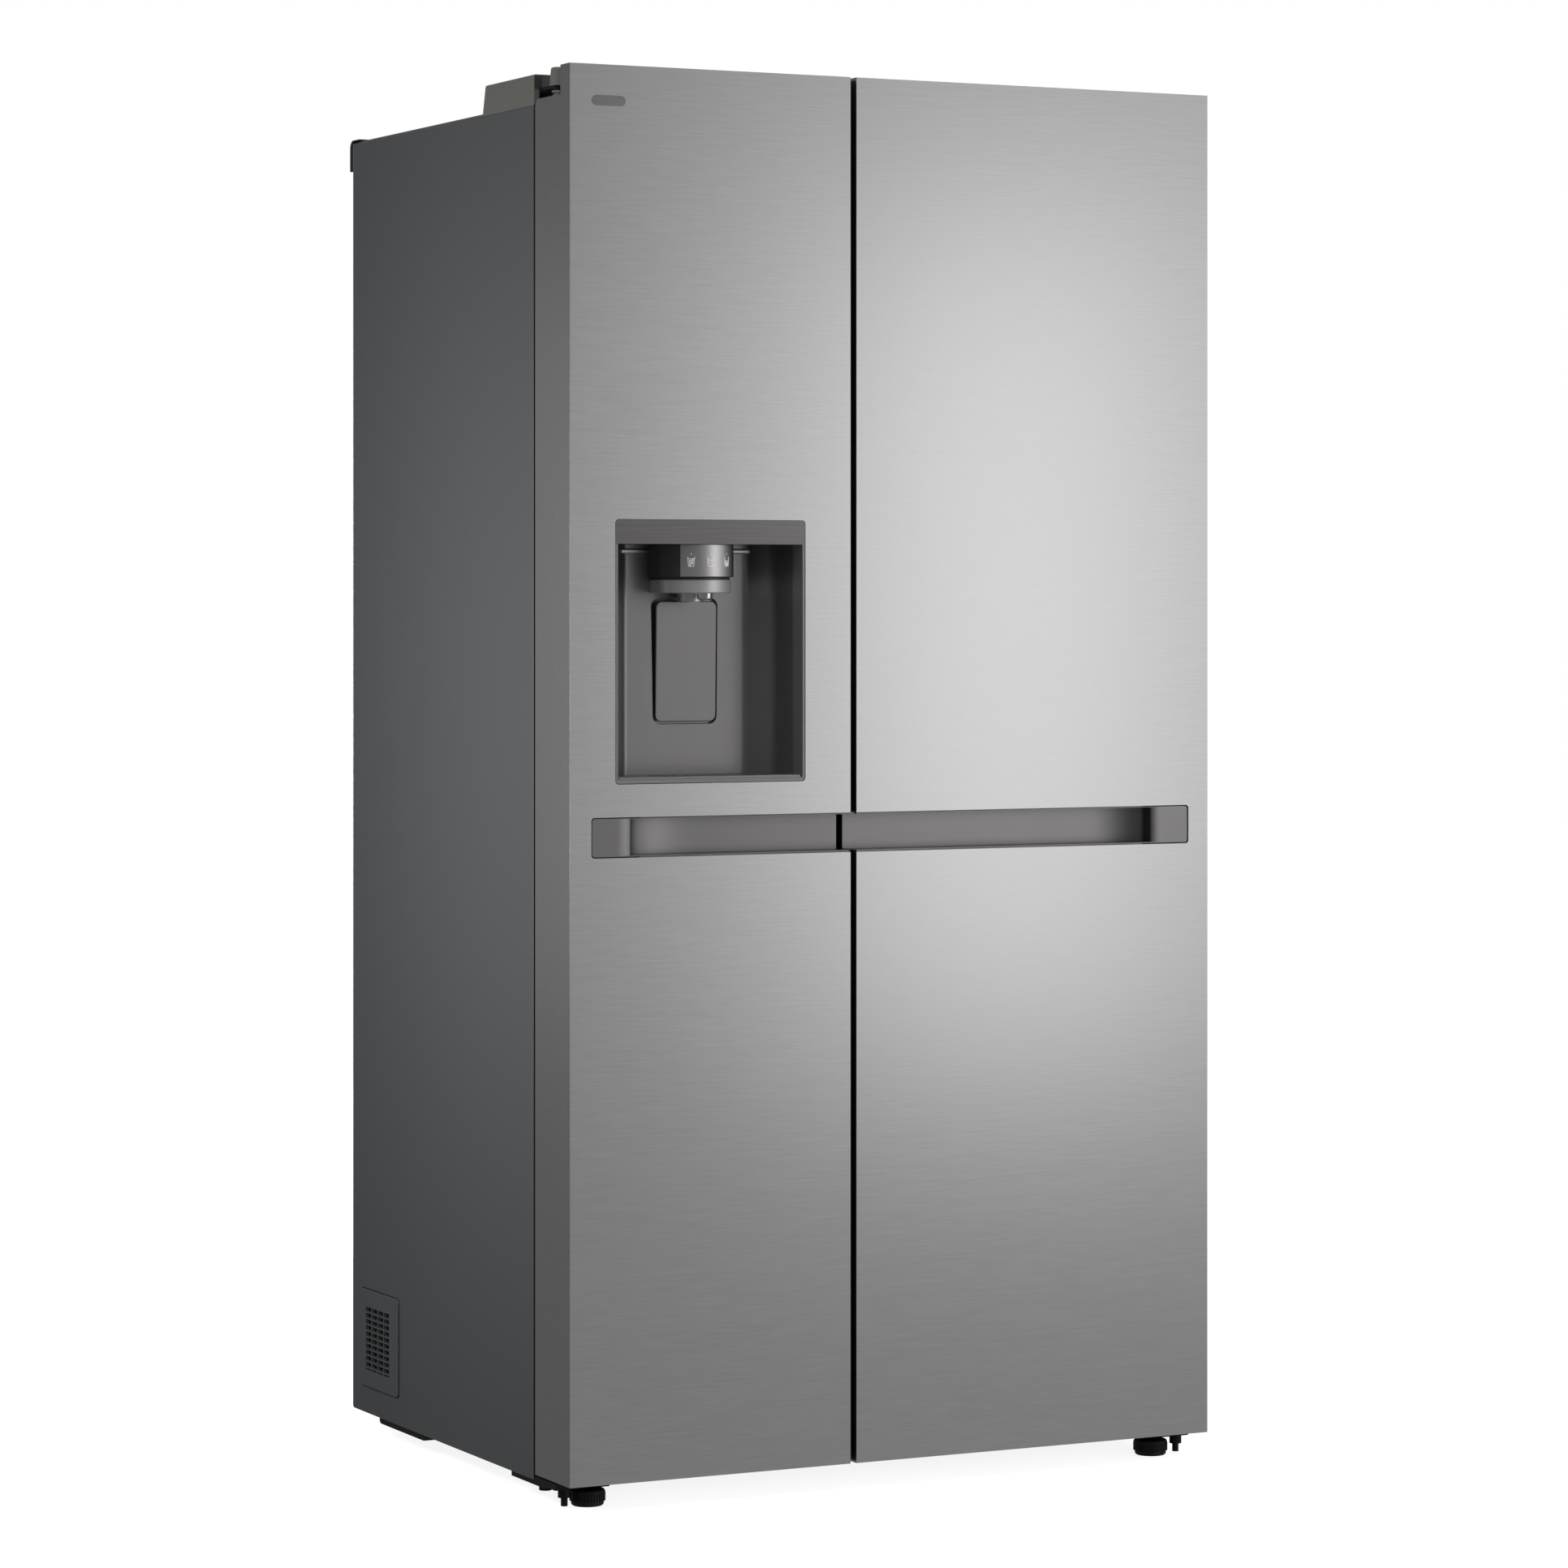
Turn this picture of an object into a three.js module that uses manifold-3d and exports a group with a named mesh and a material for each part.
// Side by side refrigerator with an ice and water dispenser in its freezer door.
// Millimetres. X runs to the right, Y runs back from the door fronts, Z is up and 0 on the floor.
// The finished group is moved so that its origin is the bottom centre of its box.
import * as THREE from 'three';
import { mergeVertices } from 'three/addons/utils/BufferGeometryUtils.js';
import Module from 'manifold-3d';

const wasm = await Module();
wasm.setup();

// ---------------------------------------------------------------- driving dimensions
const WIDTH = 913;
const DEPTH = 735;
const HEIGHT = 1784;
const SIDE = WIDTH / 2;
const GAP = 0.3; // clearance between pieces that touch

// doors
const DOOR_DEPTH = 106;
const DOOR_BOTTOM = 34;
const DOOR_SPLIT = -64.75; // centre of the gap between the doors
const DOOR_GAP = 8.3;
const SKIN = 1.2;
const FOAM_BACK = 101;
const LINER_BACK = 104.8;
const NOTCH_WIDTH = 110; // hinge notch in each door's top outer corner
const NOTCH_FRONT = 28.5;
const NOTCH_FLOOR = 1748;
const NOTCH_ROUND = 9;
const PIVOT_X = 439.5;
const PIVOT_Y = 72;
const PIN_RADIUS = 5;

// cabinet
const CASE_FRONT = 112;
const CASE_BACK = 724;
const CASE_TOP = 1745;
const CASE_BOTTOM = 27;
const SHEET = 1.5;
const FRONT_FLANGE = 39.5; // width of the painted face round the two compartments
const TOP_FLANGE = 36;
const BASE_FLANGE = 43;
const LINER = 2;
const CAVITY_BACK = 660;
const CAVITY_FLOOR = 119;
const CAVITY_TOP = 1684;
const STEP_FRONT = 480; // the cavity floor steps up over the machine compartment
const STEP_FLOOR = 279;
const MACHINE_FRONT = 540;
const MACHINE_TOP = 230;

// doorside storage and drawers
const DIKE_BACK = 140;
const DIKE_WALL = 12;
const DIKE_CLEAR = 14;
const BIN_BACK = 198;
const DRAWER_FRONT = 245;

// recessed handles
const HANDLE_BOTTOM = 806;
const HANDLE_TOP = 856;
const HANDLE_DEPTH = 40;
const HANDLE_END = 427.4;
const HANDLE_FACE = 1;

// dispenser
const DISPENSER_X = -263.9;
const DISPENSER_HALF = 131.2;
const DISPENSER_BOTTOM = 896.5;
const DISPENSER_TOP = 1224;
const RECESS_FLOOR = 900.5;
const RECESS_TOP = 1193.5;
const RECESS_BACK = 78;
const PAD_TRAVEL_BACK = 84;
const HEAD_RADIUS = 51.5;
const HEAD_Y = 53;

// feet and rollers
const FOOT_X = 405.6;
const FOOT_Y = 60.5;
const FOOT_RADIUS = 22.5;
const FOOT_HEIGHT = 22;
const ROLLER_X = 350;
const ROLLER_Y = 640;
const ROLLER_RADIUS = 12;

const freezer = {
  side: -1,
  inner: DOOR_SPLIT - DOOR_GAP / 2,
  cavity: [-401, -95],
  flange: [-416.7, DOOR_SPLIT - GAP / 2],
};
const fridge = {
  side: 1,
  inner: DOOR_SPLIT + DOOR_GAP / 2,
  cavity: [-34, 401],
  flange: [DOOR_SPLIT + GAP / 2, 416.7],
};

// ---------------------------------------------------------------- materials
const finish = (color, roughness, metalness) => new THREE.MeshStandardMaterial({ color, roughness, metalness });
const stainless = finish(0xa8a8a8, 0.35, 1);
const paintedGrey = finish(0x585a5c, 0.5, 0.3);
const galvanised = finish(0x9a9c9e, 0.5, 0.9);
const blackSteel = finish(0x17171a, 0.6, 0.4);
const chrome = finish(0xd5d8da, 0.15, 1);
const whitePlastic = finish(0xe9ecee, 0.45, 0);
const greyPlastic = finish(0x727072, 0.45, 0.1);
const warmGreyPlastic = finish(0x62625d, 0.55, 0);
const blackPlastic = finish(0x1b1b1d, 0.6, 0);
const clearPlastic = finish(0xdfe9ee, 0.15, 0);
const glass = finish(0xcfe0e0, 0.05, 0);
const rubberGrey = finish(0x3a3b3d, 0.8, 0);
const foamYellow = finish(0xd8c48a, 0.9, 0);
const copper = finish(0xb0683c, 0.35, 1);

// ---------------------------------------------------------------- solid helpers
function toSolid(geometry) {
  const bare = geometry.clone();
  bare.deleteAttribute('normal');
  bare.deleteAttribute('uv');
  const merged = mergeVertices(bare);
  return new wasm.Manifold(new wasm.Mesh({
    numProp: 3,
    vertProperties: new Float32Array(merged.attributes.position.array),
    triVerts: new Uint32Array(merged.index.array),
  }));
}

function toGeometry(solid) {
  const mesh = solid.getMesh();
  const geometry = new THREE.BufferGeometry();
  geometry.setAttribute('position', new THREE.BufferAttribute(mesh.vertProperties, 3));
  geometry.setIndex(new THREE.BufferAttribute(mesh.triVerts, 1));
  return geometry;
}

const join = (first, ...others) => others.reduce((sum, other) => sum.add(other), first);
const cut = (first, ...others) => others.reduce((rest, other) => rest.subtract(other), first);

function box(x0, x1, y0, y1, z0, z1) {
  const geometry = new THREE.BoxGeometry(Math.abs(x1 - x0), Math.abs(y1 - y0), Math.abs(z1 - z0));
  geometry.translate((x0 + x1) / 2, (y0 + y1) / 2, (z0 + z1) / 2);
  return toSolid(geometry);
}

/** Closed outline through corners [u, v, round]; each corner with a round is eased over that length. */
function outline(corners) {
  const toward = (from, to, length) => {
    const reach = Math.hypot(to[0] - from[0], to[1] - from[1]);
    return [from[0] + (to[0] - from[0]) * length / reach, from[1] + (to[1] - from[1]) * length / reach];
  };
  const shape = new THREE.Shape();
  corners.forEach((corner, i) => {
    const round = corner[2] ?? 0;
    const start = toward(corner, corners.at(i - 1), round);
    const end = toward(corner, corners[(i + 1) % corners.length], round);
    if (i === 0) {
      shape.moveTo(...start);
    } else {
      shape.lineTo(...start);
    }
    if (round > 0) {
      shape.quadraticCurveTo(corner[0], corner[1], ...end);
    }
  });
  shape.closePath();
  return shape;
}

const rectangle = (u0, u1, v0, v1, round) => outline([
  [u0, v0, round], [u1, v0, round], [u1, v1, round], [u0, v1, round],
]);

/** Extrudes an outline along an axis. It is drawn in (x, y) for z, (y, z) for x and (x, z) for y. */
function extrude(shape, axis, from, to, curveSegments = 4) {
  const geometry = new THREE.ExtrudeGeometry(shape, { depth: to - from, bevelEnabled: false, curveSegments });
  const [X, Y, Z] = [new THREE.Vector3(1, 0, 0), new THREE.Vector3(0, 1, 0), new THREE.Vector3(0, 0, 1)];
  const turn = new THREE.Matrix4();
  if (axis === 'x') {
    turn.makeBasis(Y, Z, X).setPosition(from, 0, 0);
  } else if (axis === 'y') {
    turn.makeBasis(X, Z, Y.negate()).setPosition(0, to, 0);
  } else {
    turn.makeTranslation(0, 0, from);
  }
  return toSolid(geometry.applyMatrix4(turn));
}

/** A round bar from low to high along an axis; place gives its two other coordinates in x, y, z order. */
function rod(axis, place, radius, low, high, segments = 24) {
  const geometry = new THREE.CylinderGeometry(radius, radius, high - low, segments);
  const middle = (low + high) / 2;
  if (axis === 'x') {
    geometry.rotateZ(Math.PI / 2).translate(middle, place[0], place[1]);
  } else if (axis === 'y') {
    geometry.translate(place[0], middle, place[1]);
  } else {
    geometry.rotateX(Math.PI / 2).translate(place[0], place[1], middle);
  }
  return toSolid(geometry);
}

/** Turns a profile of [radius, z] points about the vertical through the origin. */
function turned(profile, segments) {
  const points = profile.map(([radius, z]) => new THREE.Vector2(radius, z));
  return toSolid(new THREE.LatheGeometry(points, segments).rotateX(Math.PI / 2));
}

const refrigerator = new THREE.Group();

function add(name, solid, material, place = [0, 0, 0]) {
  const mesh = new THREE.Mesh(toGeometry(solid), material);
  mesh.name = name;
  mesh.position.set(...place);
  refrigerator.add(mesh);
}

// ---------------------------------------------------------------- cabinet
/** Side of the case: a sheet with a rolled top edge and a flange turned in round the front. */
function sidePanel(side) {
  const edge = side * SIDE;
  const inside = side * (SIDE - SHEET);
  const sheet = outline([
    [edge, CASE_BOTTOM], [edge, CASE_TOP, 6], [side * (SIDE - 16), CASE_TOP],
    [side * (SIDE - 16), CASE_TOP - SHEET], [inside, CASE_TOP - SHEET, 4.5], [inside, CASE_BOTTOM],
  ]);
  const flange = outline([
    [edge, CASE_BOTTOM], [edge, CASE_TOP, 6], [side * (SIDE - FRONT_FLANGE), CASE_TOP],
    [side * (SIDE - FRONT_FLANGE), CASE_BOTTOM],
  ]);
  return join(
    extrude(sheet, 'y', CASE_FRONT, CASE_BACK - SHEET - GAP),
    extrude(flange, 'y', CASE_FRONT, CASE_FRONT + SHEET),
  );
}

// opening in the left side for the machine compartment's vent
const VENT_Y = [585, 676.4];
const VENT_Z = [82, 174.5];
const ventOpening = box(-SIDE - 1, -SIDE + 3, ...VENT_Y, ...VENT_Z);
add('side_panel_left', cut(sidePanel(-1), ventOpening), paintedGrey);
add('side_panel_right', sidePanel(1), paintedGrey);

/** Vent grille: a flush plate with columns and rows of slots, and a rim behind the side panel. */
function ventGrille() {
  const columns = 4;
  const rows = 11;
  const field = { y: [589, 672.4], z: [86, 170.5] };
  const rib = 3.2;
  const columnPitch = (field.y[1] - field.y[0] + rib) / columns;
  const rowPitch = (field.z[1] - field.z[0] + rib) / rows;
  let plate = join(
    box(-SIDE, -SIDE + 3, VENT_Y[0] + GAP, VENT_Y[1] - GAP, VENT_Z[0] + GAP, VENT_Z[1] - GAP),
    box(-SIDE + SHEET + GAP, -SIDE + 3, VENT_Y[0] - 6, VENT_Y[1] + 6, VENT_Z[0] - 6, VENT_Z[1] + 6),
  );
  for (let column = 0; column < columns; column += 1) {
    for (let row = 0; row < rows; row += 1) {
      const y = field.y[0] + column * columnPitch;
      const z = field.z[0] + row * rowPitch;
      plate = cut(plate, box(-SIDE - 1, -SIDE + 4, y, y + columnPitch - rib, z, z + rowPitch - rib));
    }
  }
  return plate;
}
add('side_vent_grille', ventGrille(), paintedGrey);

const flangeInner = SIDE - FRONT_FLANGE - GAP;
add('top_panel', join(
  box(-SIDE + 16 + GAP, SIDE - 16 - GAP, CASE_FRONT + SHEET + GAP, CASE_BACK - SHEET - GAP, CASE_TOP - SHEET, CASE_TOP),
  box(-flangeInner, flangeInner, CASE_FRONT, CASE_FRONT + SHEET, CASE_TOP - TOP_FLANGE, CASE_TOP),
  box(-flangeInner, flangeInner, CASE_FRONT, CASE_FRONT + 2 * SHEET, CASE_TOP - SHEET, CASE_TOP),
), paintedGrey);

add('rear_panel', box(-SIDE, SIDE, CASE_BACK - SHEET, CASE_BACK, MACHINE_TOP, CASE_TOP - 2), galvanised);

/** Moulded strip over the rear top corner of the case. */
const trimProfile = outline([
  [700, CASE_TOP + GAP], [700, CASE_TOP + 2.3], [DEPTH, CASE_TOP + 2.3, 12], [DEPTH, CASE_TOP - 40],
  [CASE_BACK + GAP, CASE_TOP - 40], [CASE_BACK + GAP, CASE_TOP + GAP],
]);
add('rear_top_trim', extrude(trimProfile, 'x', -SIDE, SIDE, 6), blackPlastic);

/** Inside of one compartment, grown outward by some distance, with its stepped floor. */
function cavity(compartment, grow) {
  const [x0, x1] = compartment.cavity;
  const profile = outline([
    [CASE_FRONT - 1, CAVITY_FLOOR - grow], [STEP_FRONT + grow, CAVITY_FLOOR - grow],
    [STEP_FRONT + grow, STEP_FLOOR - grow], [CAVITY_BACK + grow, STEP_FLOOR - grow],
    [CAVITY_BACK + grow, CAVITY_TOP + grow], [CASE_FRONT - 1, CAVITY_TOP + grow],
  ]);
  return extrude(profile, 'x', x0 - grow, x1 + grow);
}

const FLANGE_BACK = CASE_FRONT + 2;
const halfSpace = box(-SIDE, SIDE, CASE_FRONT - 5, CASE_FRONT, 0, HEIGHT);
const machineSpace = box(-SIDE, SIDE, MACHINE_FRONT, DEPTH, 0, MACHINE_TOP);
add('cabinet_foam', cut(
  box(
    -SIDE + SHEET + GAP, SIDE - SHEET - GAP, FLANGE_BACK + GAP, CASE_BACK - SHEET - GAP,
    CASE_BOTTOM + 2 + GAP, CASE_TOP - SHEET - GAP - 5,
  ),
  cavity(freezer, LINER + GAP),
  cavity(fridge, LINER + GAP),
  machineSpace,
), foamYellow);

const freezerShelfHeights = [790, 1080];
const fridgeShelfHeights = [590, 880, 1170];
const RAIL = 5; // width of the moulded rails that the shelves rest on
const SHELF_THICK = 8;

/** Compartment liner: a moulded shell with a front flange and shelf rails on its side walls. */
function liner(compartment, shelfHeights) {
  const [x0, x1] = compartment.cavity;
  const flange = box(
    ...compartment.flange, CASE_FRONT, FLANGE_BACK,
    CASE_BOTTOM + BASE_FLANGE + GAP, CASE_TOP - TOP_FLANGE - GAP,
  );
  const shell = cut(join(cut(cavity(compartment, LINER), halfSpace), flange), cavity(compartment, 0));
  const rails = shelfHeights.flatMap((z) => [x0 + RAIL / 2 - 0.5, x1 - RAIL / 2 + 0.5].map(
    (x) => box(x - RAIL / 2 - 0.5, x + RAIL / 2 + 0.5, 240, 590, z - 6 - GAP, z - GAP),
  ));
  return join(shell, ...rails);
}
add('freezer_liner', liner(freezer, freezerShelfHeights), whitePlastic);
add('fridge_liner', liner(fridge, fridgeShelfHeights), whitePlastic);

/** Base: a floor pan with a front upstand, side skirts and the two roller brackets. */
function baseFrame() {
  const pan = box(
    -SIDE + SHEET + GAP, SIDE - SHEET - GAP, CASE_FRONT + SHEET + GAP, CASE_BACK - SHEET - GAP,
    CASE_BOTTOM, CASE_BOTTOM + 2,
  );
  const upstand = join(
    box(-flangeInner, flangeInner, CASE_FRONT, CASE_FRONT + SHEET, CASE_BOTTOM, CASE_BOTTOM + BASE_FLANGE),
    box(-flangeInner, flangeInner, CASE_FRONT, CASE_FRONT + 2 * SHEET, CASE_BOTTOM, CASE_BOTTOM + 2),
  );
  const skirtProfile = outline([
    [470, CASE_BOTTOM + 0.5], [632, CASE_BOTTOM + 0.5], [632, 19, 7], [470, 19, 7],
  ]);
  const parts = [upstand];
  for (const side of [-1, 1]) {
    const skirt = side * (SIDE - SHEET - GAP);
    parts.push(extrude(skirtProfile, 'x', Math.min(skirt, skirt - side * 30), Math.max(skirt, skirt - side * 30)));
    const x = side * ROLLER_X;
    for (const cheek of [-1, 1]) {
      const inner = x + cheek * 11;
      const outer = x + cheek * 13.5;
      parts.push(box(inner, outer, ROLLER_Y - 12, ROLLER_Y + 12, 6, CASE_BOTTOM + 0.5));
    }
    parts.push(rod('x', [ROLLER_Y, ROLLER_RADIUS], 3, x - 13, x + 13, 12));
  }
  return join(pan, ...parts);
}
add('base_frame', baseFrame(), blackSteel);

/** Cover of the machine compartment, with three rows of cooling slots. */
function machineCover() {
  let cover = box(-SIDE, SIDE, CASE_BACK - SHEET, CASE_BACK, CASE_BOTTOM + 2 + GAP, MACHINE_TOP - GAP);
  for (const z of [75, 120, 165]) {
    for (let x = -380; x < 380; x += 120) {
      cover = cut(cover, box(x, x + 95, CASE_BACK - 3, CASE_BACK + 1, z, z + 12));
    }
  }
  return cover;
}
add('machine_cover', machineCover(), galvanised);

// ---------------------------------------------------------------- hinges
const SIDES = [['left', -1], ['right', 1]];
const COVER_TOP = 1780;
const COVER_BOTTOM = 1740;

/** Hinge cover: a hollow cap over the case corner, with a rounded nose above the hinge pin. */
function hingeCover(side) {
  const wall = 2.5;
  const edge = side * SIDE;
  const inner = side * (SIDE - 104);
  const plan = (inset, front) => [
    [edge - side * inset, front], [edge - side * inset, 276 - inset], [inner + side * inset, 276 - inset],
    [inner + side * inset, front],
  ];
  const slope = outline([
    [110, COVER_BOTTOM], [276, COVER_BOTTOM], [266, COVER_TOP, 4], [110, COVER_TOP],
  ]);
  const body = extrude(slope, 'x', Math.min(edge, inner), Math.max(edge, inner));
  const hollow = extrude(outline(plan(wall, 110 + wall)), 'z', COVER_BOTTOM - 1, COVER_TOP - wall);
  const caseBlock = extrude(outline([
    [side * (SIDE + GAP), COVER_BOTTOM - 10], [side * (SIDE + GAP), CASE_TOP + GAP, 6],
    [side * 300, CASE_TOP + GAP], [side * 300, COVER_BOTTOM - 10],
  ]), 'y', 100, 300);
  const nose = join(
    rod('z', [side * PIVOT_X, PIVOT_Y], 9, 1762.6, HEIGHT),
    box(side * (PIVOT_X + 7), side * (PIVOT_X - 7), PIVOT_Y, 111, 1762.6, 1776),
  );
  const armSpace = box(side * (PIVOT_X + 9.5), side * (PIVOT_X - 9.5), PIVOT_Y - 9, 124, 1746, 1762.6);
  return cut(join(cut(body, hollow), nose), armSpace, caseBlock);
}

/** Top hinge: a steel arm bolted on the case, stepped up over the door, with its pin pointing down. */
function topHinge(side) {
  const arm = extrude(outline([
    [PIVOT_Y - 8, 1759], [107, 1759], [122, CASE_TOP + GAP], [230, CASE_TOP + GAP], [230, CASE_TOP + 3.3],
    [124, CASE_TOP + 3.3], [110, 1762.3], [PIVOT_Y - 8, 1762.3],
  ]), 'x', PIVOT_X - 9, PIVOT_X + 9);
  const pad = box(PIVOT_X - 60, PIVOT_X + 9, 150, 230, CASE_TOP + GAP, CASE_TOP + 3.3);
  const pin = rod('z', [PIVOT_X, PIVOT_Y], PIN_RADIUS, 1728, 1760);
  const collar = rod('z', [PIVOT_X, PIVOT_Y], 7.5, 1753, 1760);
  const hinge = join(arm, pad, pin, collar);
  return side > 0 ? hinge : hinge.mirror([1, 0, 0]);
}

/** Bottom hinge: a bracket under the case and door, with an upright pin and a height adjusting bolt. */
function bottomHinge(side) {
  const bracket = extrude(outline([
    [184, 20.5], [184, CASE_BOTTOM - GAP], [CASE_FRONT - 0.5, CASE_BOTTOM - GAP], [CASE_FRONT - 0.5, 31.5],
    [46, 31.5], [46, 23, 2], [66, 23], [84, 20.5],
  ]), 'x', 382, 455);
  const pin = rod('z', [PIVOT_X, PIVOT_Y], PIN_RADIUS, 30, 52);
  const bolt = join(rod('z', [440, 54], 4.3, 2.3, 24, 16), rod('z', [440, 54], 8, 13, 24, 16));
  const boltHead = rod('z', [447, 96], 8, 16, 22, 16);
  const studHole = rod('z', [FOOT_X, FOOT_Y], PIN_RADIUS + 0.5, 0, 60);
  const hinge = cut(join(bracket, pin, bolt, boltHead), studHole);
  return side > 0 ? hinge : hinge.mirror([1, 0, 0]);
}

for (const [name, side] of SIDES) {
  add(`hinge_cover_${name}`, hingeCover(side), warmGreyPlastic);
  add(`top_hinge_${name}`, topHinge(side), chrome);
  add(`bottom_hinge_${name}`, bottomHinge(side), blackSteel);
}

// ---------------------------------------------------------------- feet and rollers
const knurls = 24;
const footOutline = new THREE.Shape();
for (let i = 0; i < knurls * 2; i += 1) {
  const angle = (i / (knurls * 2)) * Math.PI * 2;
  const radius = i % 2 ? FOOT_RADIUS - 0.9 : FOOT_RADIUS;
  const point = [radius * Math.cos(angle), radius * Math.sin(angle)];
  if (i === 0) {
    footOutline.moveTo(...point);
  } else {
    footOutline.lineTo(...point);
  }
}
const footBase = cut(
  turned([[0, -1], [18.2, -1], [20.3, 1.5], [20.3, 6.2], [0, 6.2]], 32),
  box(-FOOT_RADIUS, FOOT_RADIUS, -FOOT_RADIUS, FOOT_RADIUS, -2, 0),
);
const foot = join(
  extrude(footOutline, 'z', 6, FOOT_HEIGHT - 2.4),
  footBase,
  rod('z', [0, 0], PIN_RADIUS, FOOT_HEIGHT - 3, 31, 16),
);
const roller = cut(
  rod('x', [0, 0], ROLLER_RADIUS, -9.5, 9.5, 32),
  rod('x', [0, 0], 3.4, -12, 12, 16),
);
for (const [name, side] of SIDES) {
  add(`levelling_foot_${name}`, foot, blackPlastic, [side * FOOT_X, FOOT_Y, 0]);
  add(`rear_roller_${name}`, roller, blackPlastic, [side * ROLLER_X, ROLLER_Y, ROLLER_RADIUS]);
}

// ---------------------------------------------------------------- machine compartment
const FLOOR_PLATE = CASE_BOTTOM + 2 + GAP;
add('compressor', turned([
  [0, 0], [74, 0], [74, 4], [40, 4], [40, 16], [58, 24], [66, 45], [66, 95], [58, 128], [36, 146], [0, 152],
], 24), blackSteel, [-310, 632, FLOOR_PLATE]);

/** Condenser: upright fins threaded by two headers. */
function condenser() {
  const fins = Array.from({ length: 9 }, (_, i) => box(i * 22, i * 22 + 2, 0, 140, 0, 150));
  const headers = [40, 110].map((z) => rod('x', [70, z], 6, 0, 178, 6));
  return join(...fins, ...headers);
}
add('condenser', condenser(), copper, [-60, 562, FLOOR_PLATE]);

const FAN_Y = 632;
const FAN_Z = 118;
add('fan_shroud', join(
  cut(box(-100, -97, 556, 708, FLOOR_PLATE, 215), rod('x', [FAN_Y, FAN_Z], 68, -104, -90, 32)),
  box(-100, -97, FAN_Y - 6, FAN_Y + 6, 40, 210),
  rod('x', [FAN_Y, FAN_Z], 20, -100, -86, 20),
  rod('x', [FAN_Y, FAN_Z], 3, -125, -97, 12),
), blackPlastic);

/** Fan: a hub with five pitched blades, bored for its spindle. */
function fanWheel() {
  const hub = rod('x', [0, 0], 17, -9, 9, 20);
  const blades = Array.from({ length: 5 }, (_, i) => {
    const blade = new THREE.BoxGeometry(2, 26, 48);
    blade.rotateZ(0.55).translate(0, 0, 38);
    return toSolid(blade.rotateX((i / 5) * Math.PI * 2));
  });
  return cut(join(hub, ...blades), rod('x', [0, 0], 3.4, -12, 12, 16));
}
add('condenser_fan', fanWheel(), blackPlastic, [-114, FAN_Y, FAN_Z]);

add('water_valve', join(
  box(250, 300, 640, 700, 60, 110),
  rod('y', [275, 85], 8, 700, 721, 12),
  box(262, 288, 620, 650, FLOOR_PLATE, 100),
), whitePlastic);
add('cord_gland', join(
  rod('y', [380, 60], 12, CASE_BACK + GAP, CASE_BACK + 6, 16),
  rod('y', [380, 60], 7, CASE_BACK + GAP, CASE_BACK + 10.5, 16),
), blackPlastic);

// ---------------------------------------------------------------- compartment fittings
const [freezerLeft, freezerRight] = freezer.cavity;
const [fridgeLeft, fridgeRight] = fridge.cavity;
const SHELF_FRONT = 238;
const COVER_Y = 600;

/** Evaporator: a finned coil on the rear wall of the freezer. */
function evaporator() {
  const fins = Array.from({ length: 7 }, (_, i) => box(i * 36, i * 36 + 2, 0, 40, 0, 260));
  const tubes = [60, 200].map((z) => rod('x', [20, z], 5, 0, 218, 6));
  return join(...fins, ...tubes);
}
add('evaporator', evaporator(), galvanised, [freezerLeft + 42, 612, 620]);

/** Cover over the evaporator, with rows of outlet slots. */
function evaporatorCover() {
  let cover = box(freezerLeft + 1, freezerRight - 1, COVER_Y, COVER_Y + 4, STEP_FLOOR + 1, CAVITY_TOP - 2);
  for (const z of [480, 700, 980, 1260, 1500]) {
    for (const x of [-330, -225]) {
      cover = cut(cover, box(x, x + 60, COVER_Y - 1, COVER_Y + 5, z, z + 10));
    }
  }
  return cover;
}
add('evaporator_cover', evaporatorCover(), whitePlastic);

/** Air duct up the rear wall of the fridge, with outlets in pairs. */
function fridgeDuct() {
  let duct = box(120, 250, CAVITY_BACK - 16, CAVITY_BACK - GAP, 620, 1640);
  duct = cut(duct, box(128, 242, CAVITY_BACK - 12, CAVITY_BACK + 1, 630, 1630));
  for (const z of [720, 1000, 1300, 1500]) {
    duct = cut(duct, box(140, 170, 640, 650, z, z + 14), box(200, 230, 640, 650, z, z + 14));
  }
  return duct;
}
add('fridge_duct', fridgeDuct(), whitePlastic);

add('ice_maker', cut(
  box(freezerLeft + 40, freezerRight - 40, 260, 560, 1560, CAVITY_TOP - 4),
  box(freezerLeft + 50, freezerRight - 50, 240, 550, 1570, CAVITY_TOP - 40),
), whitePlastic);

/** Glass shelf between two side walls, with a raised rear edge. */
function shelf(left, right, back) {
  return join(
    box(left + 1, right - 1, SHELF_FRONT, back, 0, SHELF_THICK),
    box(left + 1, right - 1, back - 6, back, 0, SHELF_THICK + 14),
  );
}
freezerShelfHeights.forEach((z, i) => {
  add(`freezer_shelf_${i + 1}`, shelf(freezerLeft, freezerRight, COVER_Y - 3), glass, [0, 0, z]);
});
fridgeShelfHeights.forEach((z, i) => {
  add(`fridge_shelf_${i + 1}`, shelf(fridgeLeft, fridgeRight, 640), glass, [0, 0, z]);
});

/** Open-topped tub. */
function tub(x0, x1, y0, y1, height, wall) {
  return cut(
    box(x0, x1, y0, y1, 0, height),
    box(x0 + wall, x1 - wall, y0 + wall, y1 - wall, wall, height + 1),
  );
}

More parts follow.
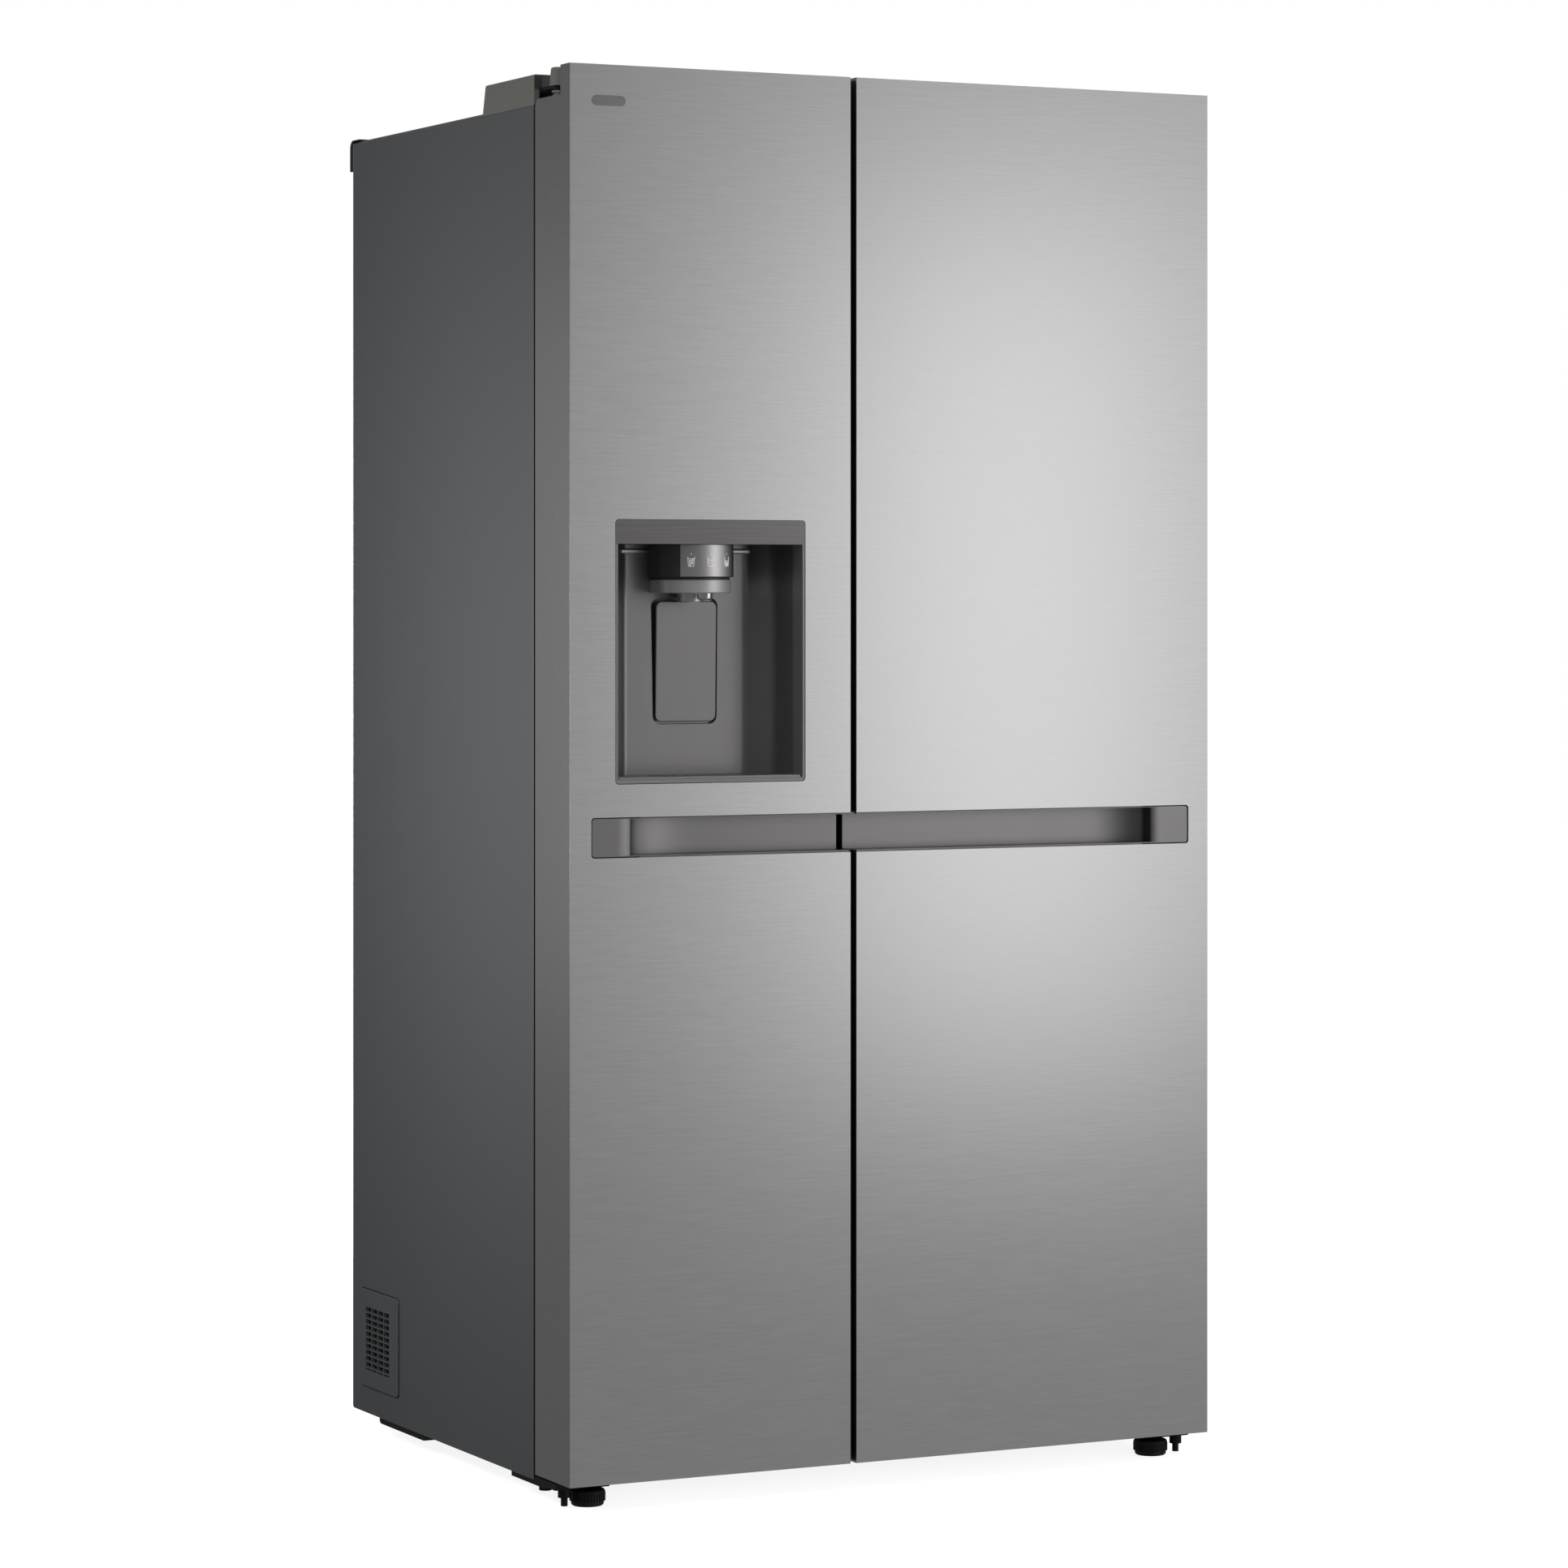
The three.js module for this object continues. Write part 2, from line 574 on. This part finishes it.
/** Drawer: a tub with a taller front that carries a finger lip. */
function drawer(left, right, back, height) {
  return join(
    tub(left + 4, right - 4, DRAWER_FRONT + 4, back, height - 25, 2.5),
    box(left + 4, right - 4, DRAWER_FRONT, DRAWER_FRONT + 5, 0, height),
    box(left + 60, right - 60, DRAWER_FRONT, DRAWER_FRONT + 16, height - 4, height),
  );
}
const lowerDrawer = { z: CAVITY_FLOOR + 3, back: STEP_FRONT - 4, height: 205 };
const upperDrawer = { z: 345, back: COVER_Y - 4, height: 215 };
[lowerDrawer, upperDrawer].forEach(({ z, back, height }, i) => {
  add(`freezer_drawer_${i + 1}`, drawer(freezerLeft, freezerRight, back, height), clearPlastic, [0, 0, z]);
  add(`fridge_drawer_${i + 1}`, drawer(fridgeLeft, fridgeRight, back, height), clearPlastic, [0, 0, z]);
});

// ---------------------------------------------------------------- doors
/** The door's outer block drawn in on every side, from its front to some depth, less the hinge notch. */
function doorBlock(door, inset, back) {
  const outer = door.side * (SIDE - inset);
  const inner = door.inner + door.side * inset;
  const frontRound = Math.max(3 - inset, 0.5);
  const block = extrude(outline([
    [outer, back], [outer, inset, frontRound], [inner, inset, frontRound], [inner, back],
  ]), 'z', DOOR_BOTTOM + inset, HEIGHT - inset, 3);
  const floor = NOTCH_FLOOR - inset;
  const corner = DOOR_DEPTH - inset;
  const notch = extrude(outline([
    [NOTCH_FRONT - inset, floor, 3], [corner - NOTCH_ROUND, floor, 3], [corner + 1, floor - NOTCH_ROUND],
    [DOOR_DEPTH + 60, floor - NOTCH_ROUND], [DOOR_DEPTH + 60, HEIGHT + 1], [NOTCH_FRONT - inset, HEIGHT + 1],
  ]), 'x', 0, NOTCH_WIDTH + inset + 1);
  const shift = door.side > 0 ? SIDE - NOTCH_WIDTH - inset : -SIDE - 1;
  return cut(block, notch.translate([shift, 0, 0]));
}

const handleOpening = (door, grow) => box(
  door.side * (HANDLE_END + grow), door.inner - door.side * 5, -1, HANDLE_DEPTH + 3 + grow,
  HANDLE_BOTTOM - grow, HANDLE_TOP + grow,
);
const handlePocketSpace = (door) => box(
  door.side * 360, door.inner - door.side * 5, 3, HANDLE_DEPTH + 4, HANDLE_BOTTOM - 3, HANDLE_TOP + 32,
);
const pinHoles = (door, low, high) => rod('z', [door.side * PIVOT_X, PIVOT_Y], PIN_RADIUS + 0.8, low, high);

function doorSkin(door) {
  return cut(
    doorBlock(door, 0, DOOR_DEPTH),
    doorBlock(door, SKIN, DOOR_DEPTH + 1),
    handleOpening(door, 0),
    pinHoles(door, DOOR_BOTTOM - 2, DOOR_BOTTOM + 4),
    pinHoles(door, NOTCH_FLOOR - 4, NOTCH_FLOOR + 2),
  );
}

function doorFoam(door) {
  return cut(
    doorBlock(door, SKIN + GAP, FOAM_BACK),
    handleOpening(door, GAP),
    handlePocketSpace(door),
    pinHoles(door, DOOR_BOTTOM - 2, DOOR_BOTTOM + 20),
    pinHoles(door, NOTCH_FLOOR - 22, NOTCH_FLOOR + 2),
  );
}

/** Box that the dike stands on: the compartment's cavity drawn in all round. */
function dikeBox(door, inset, back) {
  const [x0, x1] = door.cavity;
  return box(
    x0 + inset, x1 - inset, LINER_BACK - 1, back, CAVITY_FLOOR + inset, CAVITY_TOP - inset,
  );
}

/** Inner panel of a door: a sheet with a raised dike that fits inside the compartment. */
function doorLiner(door) {
  const slice = box(-SIDE, SIDE, FOAM_BACK + GAP, LINER_BACK, 0, HEIGHT);
  return join(
    doorBlock(door, SKIN + GAP + 0.2, LINER_BACK).intersect(slice),
    cut(dikeBox(door, DIKE_CLEAR, DIKE_BACK), dikeBox(door, DIKE_CLEAR + DIKE_WALL, DIKE_BACK + 1)),
  );
}

/** Magnetic gasket round the inner face of a door. */
function gasket(door) {
  const outer = door.side * 436;
  const inner = door.inner + door.side * 12;
  const width = 17;
  const [low, high] = [48, CASE_TOP - 9];
  const hole = box(
    outer - door.side * width, inner + door.side * width, 0, 200, low + width, high - width,
  );
  return cut(box(outer, inner, LINER_BACK + GAP, CASE_FRONT - GAP, low, high), hole);
}

/** Recessed handle: a flush end that curves down into a deep channel, open at the door's inner edge. */
function handle(door) {
  const { side } = door;
  const end = side * HANDLE_END;
  const mouth = door.inner + side * GAP;
  const beyond = door.inner - side * 10;
  const low = HANDLE_BOTTOM + GAP;
  const high = HANDLE_TOP - GAP;
  const back = HANDLE_DEPTH + 3;
  const face = extrude(rectangle(
    Math.min(end - side * GAP, mouth), Math.max(end - side * GAP, mouth), low, high, 4,
  ), 'y', HANDLE_FACE, HANDLE_FACE + 3);
  const square = box(mouth, side * 385, HANDLE_FACE, 20, low, high);
  const channel = box(mouth, side * 370, HANDLE_FACE + 2, back, low, high);
  const pocket = box(
    door.inner + side * (SKIN + GAP), side * 356, 4, back, HANDLE_BOTTOM - 2, HANDLE_TOP + 30,
  );
  const curve = new THREE.Shape();
  curve.moveTo(beyond, HANDLE_FACE - 3);
  curve.lineTo(side * 388, HANDLE_FACE - 3);
  curve.lineTo(side * 388, HANDLE_FACE);
  curve.bezierCurveTo(side * 366, HANDLE_FACE, side * 358, 4, side * 353, 18);
  curve.bezierCurveTo(side * 347, 33, side * 338, HANDLE_DEPTH, side * 312, HANDLE_DEPTH);
  curve.lineTo(beyond, HANDLE_DEPTH);
  curve.closePath();
  const hollow = extrude(curve, 'z', HANDLE_BOTTOM + 2.5, HANDLE_TOP - 2, 6);
  const fingerGap = box(beyond, side * 330, 8, HANDLE_DEPTH, HANDLE_BOTTOM + 2.5, HANDLE_TOP + 27);
  return cut(join(face, square, channel, pocket), hollow, fingerGap);
}

/** Door bin: a tub held between the dike's side walls. */
function bin(door, height, back) {
  const [x0, x1] = door.cavity;
  const clear = DIKE_CLEAR + DIKE_WALL + 1.7;
  return tub(x0 + clear, x1 - clear, LINER_BACK + GAP, back, height, 2.5);
}

const dispenserOpening = extrude(rectangle(
  DISPENSER_X - DISPENSER_HALF, DISPENSER_X + DISPENSER_HALF, DISPENSER_BOTTOM, DISPENSER_TOP, 5,
), 'y', -1, 4);
const dispenserSpace = box(
  DISPENSER_X - DISPENSER_HALF - 1, DISPENSER_X + DISPENSER_HALF + 1, -1, 89,
  DISPENSER_BOTTOM - 1, DISPENSER_TOP + 1,
);

add('freezer_door_skin', cut(doorSkin(freezer), dispenserOpening), stainless);
add('freezer_door_foam', cut(doorFoam(freezer), dispenserSpace), foamYellow);
add('freezer_door_liner', doorLiner(freezer), whitePlastic);
add('freezer_door_gasket', gasket(freezer), rubberGrey);
add('freezer_handle', handle(freezer), greyPlastic);
add('fridge_door_skin', doorSkin(fridge), stainless);
add('fridge_door_foam', doorFoam(fridge), foamYellow);
add('fridge_door_liner', doorLiner(fridge), whitePlastic);
add('fridge_door_gasket', gasket(fridge), rubberGrey);
add('fridge_handle', handle(fridge), greyPlastic);

add('ice_bucket', bin(freezer, 250, BIN_BACK), clearPlastic, [0, 0, 1235]);
add('freezer_bin', bin(freezer, 110, BIN_BACK), clearPlastic, [0, 0, 640]);
[640, 950, 1260].forEach((z, i) => {
  add(`fridge_bin_${i + 1}`, bin(fridge, 110, BIN_BACK), clearPlastic, [0, 0, z]);
});

// ---------------------------------------------------------------- dispenser
/** Plan of the recess: side walls that draw in toward the flat rear wall, grown outward. */
function recessPlan(front, grow) {
  return outline([
    [DISPENSER_X - 128 - grow, front], [DISPENSER_X + 128 + grow, front],
    [DISPENSER_X + 110 + grow, 48, 24], [DISPENSER_X + 85 + grow, RECESS_BACK + grow, 9],
    [DISPENSER_X - 85 - grow, RECESS_BACK + grow, 9], [DISPENSER_X - 110 - grow, 48, 24],
  ]);
}

const PAD = { x: [-305.9, -221.9], z: [971.3, 1122.3], front: 72, back: 76.5 };

function dispenserHousing() {
  const frame = extrude(rectangle(
    DISPENSER_X - DISPENSER_HALF + GAP, DISPENSER_X + DISPENSER_HALF - GAP,
    DISPENSER_BOTTOM + GAP, DISPENSER_TOP - GAP, 5,
  ), 'y', 0.5, 5);
  const tubBody = extrude(recessPlan(1, 2.2), 'z', DISPENSER_BOTTOM + 1.5, RECESS_TOP + 2.5);
  const padBacking = box(PAD.x[0] - 8, PAD.x[1] + 8, RECESS_BACK, PAD_TRAVEL_BACK + 2.5, 964, 1131);
  const padRecess = box(
    PAD.x[0] - 5, PAD.x[1] + 2, RECESS_BACK - 1, PAD_TRAVEL_BACK, PAD.z[0] - 3, PAD.z[1] + 4,
  );
  const hollow = extrude(recessPlan(-1, 0), 'z', RECESS_FLOOR, RECESS_TOP);
  return cut(join(frame, tubBody, padBacking), hollow, padRecess);
}
add('dispenser_housing', dispenserHousing(), greyPlastic);

/** One tier of the dispensing head: a half round front with straight sides back to the rear wall. */
function headTier(radius, low, high) {
  const back = RECESS_BACK - GAP;
  const plan = new THREE.Shape();
  plan.moveTo(DISPENSER_X - radius, back);
  plan.absarc(DISPENSER_X, HEAD_Y, radius, Math.PI, 2 * Math.PI);
  plan.lineTo(DISPENSER_X + radius, back);
  plan.closePath();
  return extrude(plan, 'z', low, high, 20);
}
const CHUTE = [-268, 53];
add('dispenser_head', cut(
  join(
    headTier(HEAD_RADIUS, 1152.7, RECESS_TOP - GAP),
    headTier(46, 1149, 1153),
    headTier(48, 1132.6, 1149.5),
    rod('z', CHUTE, 16, 1121.5, 1136),
  ),
  rod('z', CHUTE, 12, 1120, 1142),
), greyPlastic);
add('water_nozzle', turned([[4, 0], [8, 0], [9.7, 2.5], [9.7, 7.8], [4, 7.8], [4, 0]], 20), chrome, [
  DISPENSER_X, 19, 1124.5,
]);
add('dispenser_pad', extrude(rectangle(...PAD.x, ...PAD.z, 8), 'y', PAD.front, PAD.back), greyPlastic);

function dripTray() {
  const floor = box(-SIDE, 0, 3, RECESS_BACK, RECESS_FLOOR + GAP, RECESS_FLOOR + 4.5);
  const plan = floor.intersect(extrude(recessPlan(-1, -0.8), 'z', RECESS_FLOOR, RECESS_FLOOR + 10));
  const slots = Array.from({ length: 9 }, (_, i) => {
    const x = DISPENSER_X + (i - 4) * 16;
    return box(x - 4, x + 4, 20, 62, RECESS_FLOOR - 1, RECESS_FLOOR + 6);
  });
  return cut(plan, ...slots);
}
add('drip_tray', dripTray(), greyPlastic);

refrigerator.position.y = -DEPTH / 2;
export default refrigerator;
